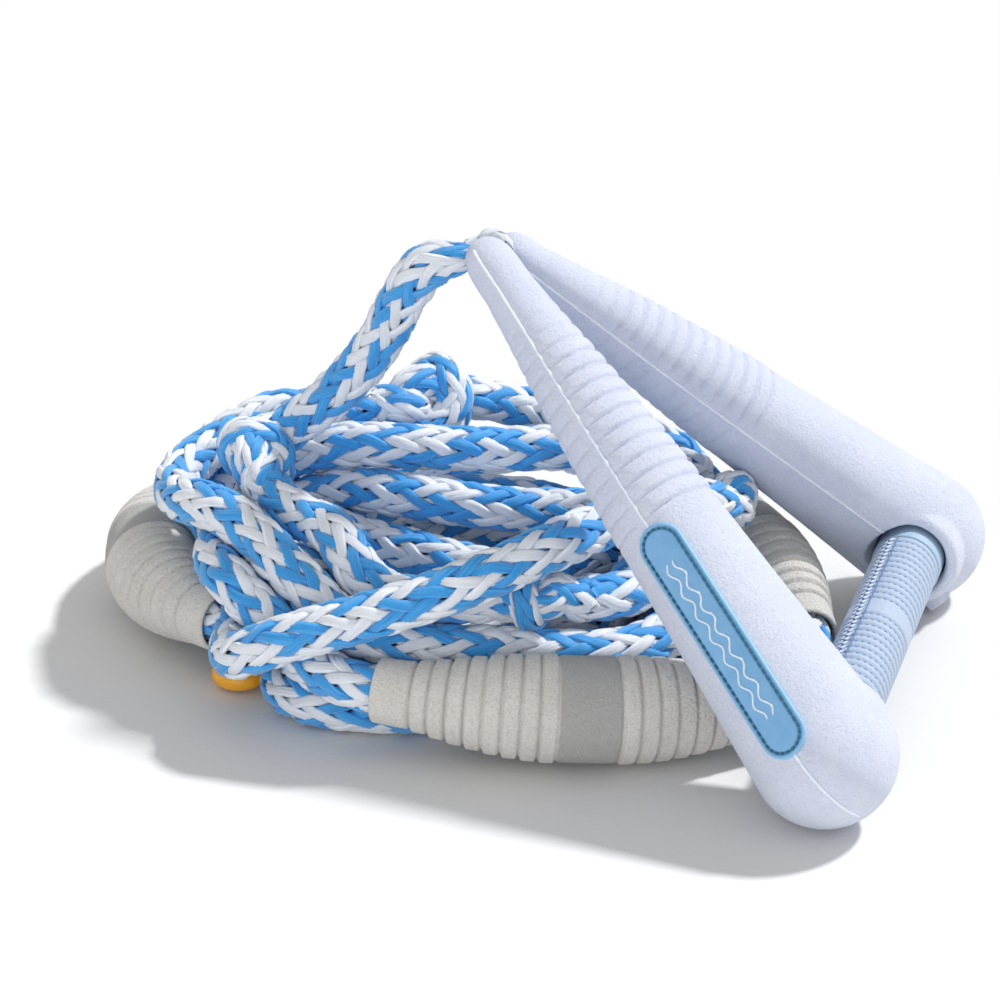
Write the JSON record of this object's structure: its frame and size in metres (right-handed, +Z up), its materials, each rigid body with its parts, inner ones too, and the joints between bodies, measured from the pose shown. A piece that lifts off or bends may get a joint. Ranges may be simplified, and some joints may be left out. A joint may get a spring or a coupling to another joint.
{
  "type": "tow rope handle",
  "caption": "Wake surf tow rope: foam-armed triangular handle with a wrapped bar, on a coiled and knotted braided rope with foam floats.",
  "frame": {"origin": "on the floor, in the middle of the footprint of handle and coil", "axes": "+Z up; +X towards the handle's bar, the longest extent; -Y towards the front float"},
  "size_m": [0.4295, 0.378, 0.2112],
  "materials": {
    "foam_lilac": "matte moulded closed-cell foam, fine suede texture, pale lilac blue",
    "badge_blue": "satin blue panel with a stitched edge",
    "wrap_blue": "matte light blue foam wrap with stitched rows",
    "cuff_blue": "satin blue rubbery cuff",
    "lacing_blue": "dark blue and white cross-stitched thread",
    "rope_blue_white": "braided polyethylene rope, white with azure flecks, slight sheen",
    "float_grey": "matte warm light grey foam with fine speckle",
    "sleeve_orange": "semi-gloss orange-yellow sleeve",
    "tube_metal": "drawn tube",
    "plug_black": "moulded end plug",
    "cushion_foam": "dark closed-cell foam under the wrap"
  },
  "bodies": {
    "coil": {"rope_run_1": "rope_blue_white", "rope_run_2": "rope_blue_white", "rope_run_3": "rope_blue_white", "rope_run_4": "rope_blue_white", "knot_lead": "rope_blue_white", "knot_mid": "rope_blue_white", "knot_top": "rope_blue_white", "knot_right": "rope_blue_white", "boat_loop": "rope_blue_white", "loop_sleeve": "sleeve_orange"},
    "float_front": {"float_front": "float_grey"},
    "float_right": {"float_right": "float_grey"},
    "float_left": {"float_left": "float_grey"},
    "lead": {"lead_rope": "rope_blue_white", "lead_eye": "rope_blue_white"},
    "handle": {"arm_near_upper": "foam_lilac", "arm_near_lower": "foam_lilac", "arm_far_upper": "foam_lilac", "arm_far_lower": "foam_lilac", "badge_near": "badge_blue", "badge_far": "badge_blue", "bridle_rope": "rope_blue_white"},
    "bar": {"bar_tube": "tube_metal", "tube_plug_near": "plug_black", "tube_plug_far": "plug_black", "bar_cushion": "cushion_foam", "bar_wrap": "wrap_blue", "bar_cuff_near": "cuff_blue", "bar_cuff_far": "cuff_blue", "wrap_lacing": "lacing_blue"}
  },
  "joints": [
    {"name": "lead_lift", "type": "hinge", "parent": "coil", "child": "lead", "pos_m": [-0.11983, 0.04471, 0.09838], "axis": [-0.2929, -0.9562, 0], "range_deg": [0, 45]},
    {"name": "handle_pitch", "type": "hinge", "parent": "lead", "child": "handle", "pos_m": [-0.02608, 0.01254, 0.19769], "axis": [-0.2929, -0.9562, 0], "range_deg": [0, 100]},
    {"name": "bar_spin", "type": "hinge", "parent": "handle", "child": "bar", "pos_m": [0.14885, -0.04611, 0.0314], "axis": [0.2929, 0.9562, 0], "continuous": true},
    {"name": "float_front_slide", "type": "hinge", "parent": "coil", "child": "float_front", "pos_m": [-0.00508, 0.19416, 0.025], "axis": [0, 0, 1], "range_deg": [-0.9, 0]},
    {"name": "float_right_slide", "type": "hinge", "parent": "coil", "child": "float_right", "pos_m": [-0.12923, -0.04176, 0.0255], "axis": [0, 0, 1], "range_deg": [-1.1, 1.1]},
    {"name": "float_left_slide", "type": "hinge", "parent": "coil", "child": "float_left", "pos_m": [-0.06086, 0.06548, 0.0255], "axis": [0, 0, 1], "range_deg": [-2.2, 1.3]}
  ]
}
